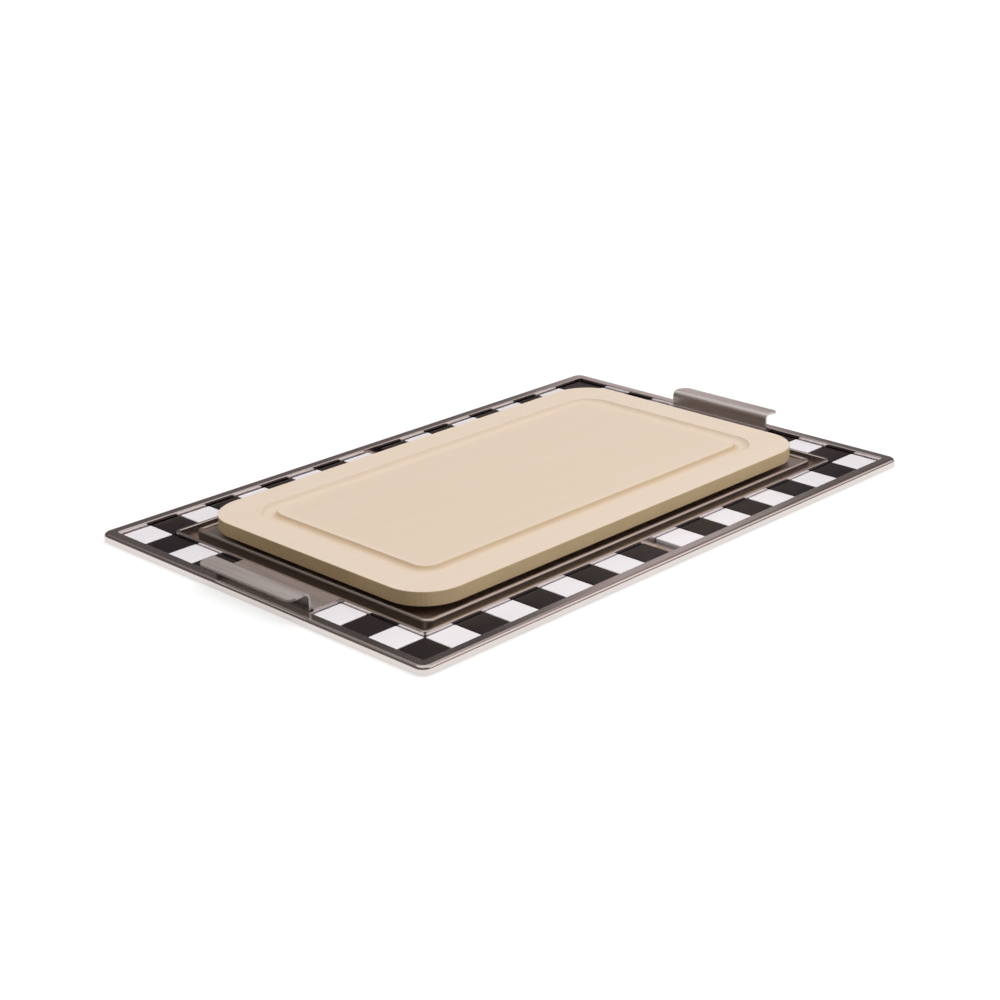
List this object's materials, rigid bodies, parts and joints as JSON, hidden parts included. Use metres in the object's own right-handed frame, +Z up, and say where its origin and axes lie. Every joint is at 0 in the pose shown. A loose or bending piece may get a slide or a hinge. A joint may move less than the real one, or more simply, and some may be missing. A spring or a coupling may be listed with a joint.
{
  "type": "carving board",
  "caption": "Wooden carving board with a juice groove, resting in a steel drip pan inside a shallow steel tray framed by glazed square tiles, with a folded steel handle at each end.",
  "frame": {"origin": "the point on the table under the middle of the tray", "axes": "+X runs from the left handle to the right handle, +Y from the front row of tiles to the rear row, +Z up from the table"},
  "size_m": [0.4968, 0.32, 0.0195],
  "materials": {
    "tray_steel": "pressed stainless sheet, satin",
    "handle_steel": "folded stainless sheet with fine grain along its length",
    "pan_steel": "pressed stainless sheet, smooth",
    "black_glaze": null,
    "white_glaze": null,
    "board_wood": "pale close-grained hardwood, sanded and oiled",
    "foot_rubber": "matt"
  },
  "bodies": {
    "tray": {"tray": "tray_steel", "left_handle": "handle_steel", "right_handle": "handle_steel", "front_black_tiles": "black_glaze", "front_white_tiles": "white_glaze", "rear_black_tiles": "black_glaze", "rear_white_tiles": "white_glaze", "left_black_tiles": "black_glaze", "left_white_tiles": "white_glaze", "right_black_tiles": "black_glaze", "right_white_tiles": "white_glaze"},
    "pan": {"drip_pan": "pan_steel"},
    "board": {"carving_board": "board_wood", "board_feet": "foot_rubber"}
  },
  "joints": [
    {"name": "pan_lift", "type": "slide", "parent": "tray", "child": "pan", "axis": [0, 0, 1], "range_m": [0, 0.1]},
    {"name": "board_lift", "type": "slide", "parent": "pan", "child": "board", "axis": [0, 0, 1], "range_m": [0, 0.12]}
  ]
}
